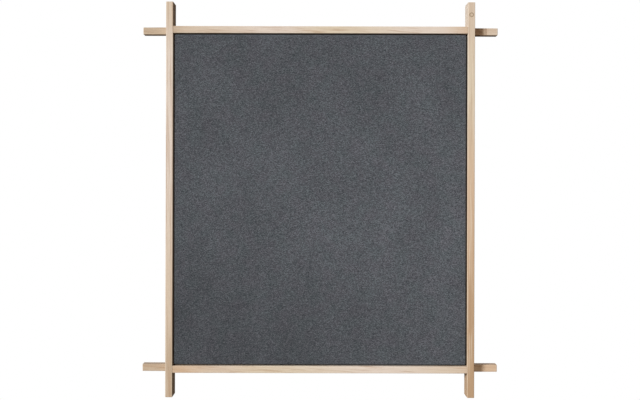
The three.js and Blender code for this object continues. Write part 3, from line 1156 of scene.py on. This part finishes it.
def ease_cloth(skin, cloth):
    """Lets the core swell the face a little, and makes the hem's cut edge and mitres uneven."""
    for vertex in skin.verts:
        x, z = vertex.co.x - BOARD_MIDDLE.x, vertex.co.z - BOARD_MIDDLE.z
        inset_x, inset_z = HALF_WIDTH - abs(x), HALF_HEIGHT - abs(z)
        if vertex.co.y < CLOTH_LOW.y + SAME:
            swell = min(1.0, max(0.0, min(inset_x, inset_z) / SWELL_REACH)) ** 0.5
            waves = 0.5 + 0.5 * noise.noise(Vector((x * SWELL_PACE.x, 3.7, z * SWELL_PACE.z)))
            vertex.co.y -= cloth.bulge * swell * (0.35 + 0.65 * waves)
        elif lies_behind(vertex.co):
            stray = cloth.hem_stray * noise.noise(Vector((x * STRAY_PACE, 9.1, z * STRAY_PACE)))
            if abs(inset_x - HEM_WIDTH) < SAME:
                vertex.co.x += stray
            if abs(inset_z - HEM_WIDTH) < SAME:
                vertex.co.z += stray
            on_mitre = abs(inset_x - inset_z) < 0.2 * MM
            if on_mitre and inset_x > 4 * MM:
                vertex.co.y -= MITRE_DIP


class PINBOARD_OT_cloth(bpy.types.Operator):
    """Stretches the woven cover over the panel and staples its hem behind"""

    bl_idname = "pinboard.cloth"
    bl_label = "Make the cloth cover"

    def execute(self, context):
        cloth = context.scene.pinboard_cloth
        skin = cloth_skin(cloth)
        bmesh.ops.recalc_face_normals(skin, faces=skin.faces[:])
        lay_threads(skin)
        ease_cloth(skin, cloth)
        mesh = bpy.data.meshes.new("cloth_cover")
        skin.to_mesh(mesh)
        skin.free()
        mesh.shade_smooth()
        cover = finish_piece("cloth_cover", mesh, woven_cloth("woven_grey", cloth), "cloth", "fabric_cover")
        thick = cover.modifiers.new("thickness", "SOLIDIFY")
        thick.thickness = CLOTH_THICKNESS
        thick.offset = -1
        staples = staple_hem(context.scene.pinboard_fixings)
        return {"FINISHED"}


# How far the staples' rows lie from the hem's cut edge, and end short of the crossing hem's.
STAPLE_INSET = 8 * MM
STAPLE_RUN_END = 10 * MM
# How far the crown stands out of the cloth and reaches into it.
STAPLE_RISE = 0.42 * MM
STAPLE_SINK = 0.9 * MM
WIRE_HALF = 0.55 * MM
WIRE_ROUND = 0.35 * MM


def staple_hem(fixings):
    """One piece of wire staples round the hem, each put in by hand a little out of line and askew."""
    line = HEM_WIDTH - STAPLE_INSET
    scatter = random.Random(11)
    whole = bmesh.new()
    for level, half, other in ((False, HALF_WIDTH, HALF_HEIGHT), (True, HALF_HEIGHT, HALF_WIDTH)):
        run = other - HEM_WIDTH - STAPLE_RUN_END
        count = round(2 * run / fixings.staple_spacing)
        for sign in (-1, 1):
            for step in range(count + 1):
                along = -run + 2 * run * step / count + scatter.uniform(-1.5, 1.5) * MM
                across = sign * (half - line + scatter.uniform(-1, 1) * MM)
                place = BOARD_MIDDLE + Vector((along, 0, across) if level else (across, 0, along))
                place.y = CLOTH_HIGH.y
                turn = scatter.gauss(0, 0.09) + (0 if level else math.pi / 2)
                add_staple(whole, fixings, place, turn)
    mesh = mesh_from(whole, "hem_staples", STAPLE_SHARP)
    return finish_piece("hem_staples", mesh, zinc_plate("staple_wire", fixings), "zinc_steel")


def add_staple(whole, fixings, place, turn):
    """A flat wire crown with rounded upper edges, sunk into the hem."""
    half = fixings.staple_width / 2
    one = box_shape((-half, -STAPLE_SINK, -WIRE_HALF), (half, STAPLE_RISE, WIRE_HALF))
    round_edges(one, WIRE_ROUND, 2, lambda edge: runs_along(edge, 2) and edge.verts[0].co.y > 0)
    move = Matrix.Translation(place) @ Matrix.Rotation(turn, 4, "Y")
    bmesh.ops.transform(one, matrix=move, verts=one.verts[:])
    add_shape(whole, one)


class PINBOARD_OT_boards(bpy.types.Operator):
    """Finishes the soft core and the hardboard behind it, which keep their CAD shapes"""

    bl_idname = "pinboard.boards"
    bl_label = "Finish the boards"

    def execute(self, context):
        fixings = context.scene.pinboard_fixings
        finishes = {
            "pin_core": fibre_board("softboard_fibre", fixings),
            "backer_panel": pressed_board("hardboard_screen", fixings),
        }
        for name, material in finishes.items():
            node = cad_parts[name]
            node.data.materials.clear()
            node.data.materials.append(material)
        return {"FINISHED"}


# The stage


LAMP_DISTANCE = 3
FLOOR_RADIUS = 2.2
# The floor starts to fade into the background at the first distance and is gone at the second.
FLOOR_FADE = (0.9, 2.15)
SENSOR_WIDTH = 36
# Where the camera stands beside the board's middle, in metres, and its lens's shift as a share of the width.
LENS_SHIFT = (0.0042, -0.0167)
CAMERA_ASIDE = Vector((-0.0068, 0, 0.0247))


def lamp(stage, name, facing=-1):
    """A distant lamp with the stage's settings for it, in front of the board or behind it."""
    left, height = getattr(stage, f"{name}_left"), getattr(stage, f"{name}_height")
    level = math.cos(height)
    direction = Vector((-math.sin(left) * level, facing * math.cos(left) * level, math.sin(height)))
    light = bpy.data.lights.new(name, "SUN")
    light.energy = getattr(stage, f"{name}_strength")
    light.angle = getattr(stage, f"{name}_softness")
    light.color = getattr(stage, f"{name}_tint")
    holder = in_scene(name, light)
    holder.rotation_mode = "QUATERNION"
    holder.rotation_quaternion = direction.to_track_quat("Z", "Y")
    holder.location = BOARD_MIDDLE + direction * LAMP_DISTANCE


def white_world(ambient):
    """White behind everything and in reflections, and a low even light on the rest."""
    world = bpy.data.worlds.new("studio")
    bpy.context.scene.world = world
    world.use_nodes = True
    tree = world.node_tree
    tree.nodes.clear()
    seen = ray(tree, "Camera").maths("MAXIMUM", ray(tree, "Glossy"))
    seen = seen.maths("MAXIMUM", ray(tree, "Transmission"))
    soft = put(tree, "Background", {"Color": (*ambient, 1), "Strength": 1.0})
    white = put(tree, "Background", {"Color": (1, 1, 1, 1), "Strength": 1.0})
    both = put(tree, "MixShader", {0: seen, 1: soft, 2: white})
    put(tree, "OutputWorld", {"Surface": both}, None)


def ray(tree, kind):
    """1 for light rays of one kind and 0 for others."""
    return put(tree, "LightPath", output=f"Is {kind} Ray")


def pale_floor(stage):
    """A round floor that fades into the white background at its rim."""
    shape = bmesh.new()
    bmesh.ops.create_circle(shape, cap_ends=True, segments=96, radius=FLOOR_RADIUS)
    bmesh.ops.translate(shape, verts=shape.verts[:], vec=BOARD_MIDDLE - Vector((0, 0, stage.floor_drop)))
    mesh = bpy.data.meshes.new("floor")
    shape.to_mesh(mesh)
    shape.free()
    floor = in_scene("floor", mesh)
    material, tree = new_material("pale_floor")
    level = (put(tree, "TexCoord", output="Object") - tuple(BOARD_MIDDLE)) * (1, 1, 0)
    faded = ranged(level.vector("LENGTH"), *FLOOR_FADE, smooth=True)
    color = mixed(ray(tree, "Diffuse"), stage.floor, stage.floor_glow)
    paint = put(tree, "BsdfDiffuse", {"Color": color})
    clear = put(tree, "BsdfTransparent")
    both = put(tree, "MixShader", {0: faded * ray(tree, "Camera"), 1: paint, 2: clear})
    put(tree, "OutputMaterial", {"Surface": both}, None)
    mesh.materials.append(material)


class PINBOARD_OT_stage(bpy.types.Operator):
    """Sets up the camera, the lamps, the white background and the floor"""

    bl_idname = "pinboard.stage"
    bl_label = "Set the stage"

    def execute(self, context):
        stage = context.scene.pinboard_stage
        lamp(stage, "key")
        lamp(stage, "fill")
        lamp(stage, "back", facing=1)
        white_world(stage.ambient)
        pale_floor(stage)
        data = bpy.data.cameras.new("camera")
        data.sensor_width = SENSOR_WIDTH
        data.lens = stage.lens
        data.shift_x, data.shift_y = LENS_SHIFT
        camera = in_scene("camera", data)
        camera.location = BOARD_MIDDLE + CAMERA_ASIDE
        camera.location.y = LEFT_STILE[0].y - stage.distance
        level = Matrix.Rotation(math.pi / 2, 4, "X") @ Matrix.Rotation(stage.roll, 4, "Z")
        camera.rotation_euler = level.to_euler()
        context.scene.camera = camera
        context.scene.view_settings.view_transform = "Standard"
        return {"FINISHED"}


class PINBOARD_PT_sidebar(bpy.types.Panel):
    """Lists the steps that dress the pinboard"""

    bl_idname = "PINBOARD_PT_sidebar"
    bl_label = "Pinboard"
    bl_space_type = "VIEW_3D"
    bl_region_type = "UI"
    bl_category = "Pinboard"

    def draw(self, context):
        for group in PROPERTY_GROUPS:
            settings = getattr(context.scene, group)
            box = self.layout.box()
            for key in settings.bl_rna.properties.keys():
                if key not in ("rna_type", "name"):
                    box.prop(settings, key)
        for step in STEPS:
            self.layout.operator(step.bl_idname)


PROPERTY_GROUPS = {
    "pinboard_bars": BarSettings,
    "pinboard_cloth": ClothSettings,
    "pinboard_fixings": FixingSettings,
    "pinboard_stage": StageSettings,
}
STEPS = (
    PINBOARD_OT_stage,
    PINBOARD_OT_stiles,
    PINBOARD_OT_rails,
    PINBOARD_OT_cloth,
    PINBOARD_OT_boards,
    PINBOARD_OT_cleats,
    PINBOARD_OT_hangers,
    PINBOARD_OT_screws,
)


CLASSES = (*PROPERTY_GROUPS.values(), *STEPS, PINBOARD_PT_sidebar)


def register():
    for each in CLASSES:
        bpy.utils.register_class(each)
    for name, group in PROPERTY_GROUPS.items():
        setattr(bpy.types.Scene, name, bpy.props.PointerProperty(type=group))


def unregister():
    for name in PROPERTY_GROUPS:
        delattr(bpy.types.Scene, name)
    for each in reversed(CLASSES):
        bpy.utils.unregister_class(each)


def main():
    register()
    for step in STEPS:
        family, name = step.bl_idname.split(".")
        getattr(getattr(bpy.ops, family), name)()


if __name__ == "__main__":
    main()
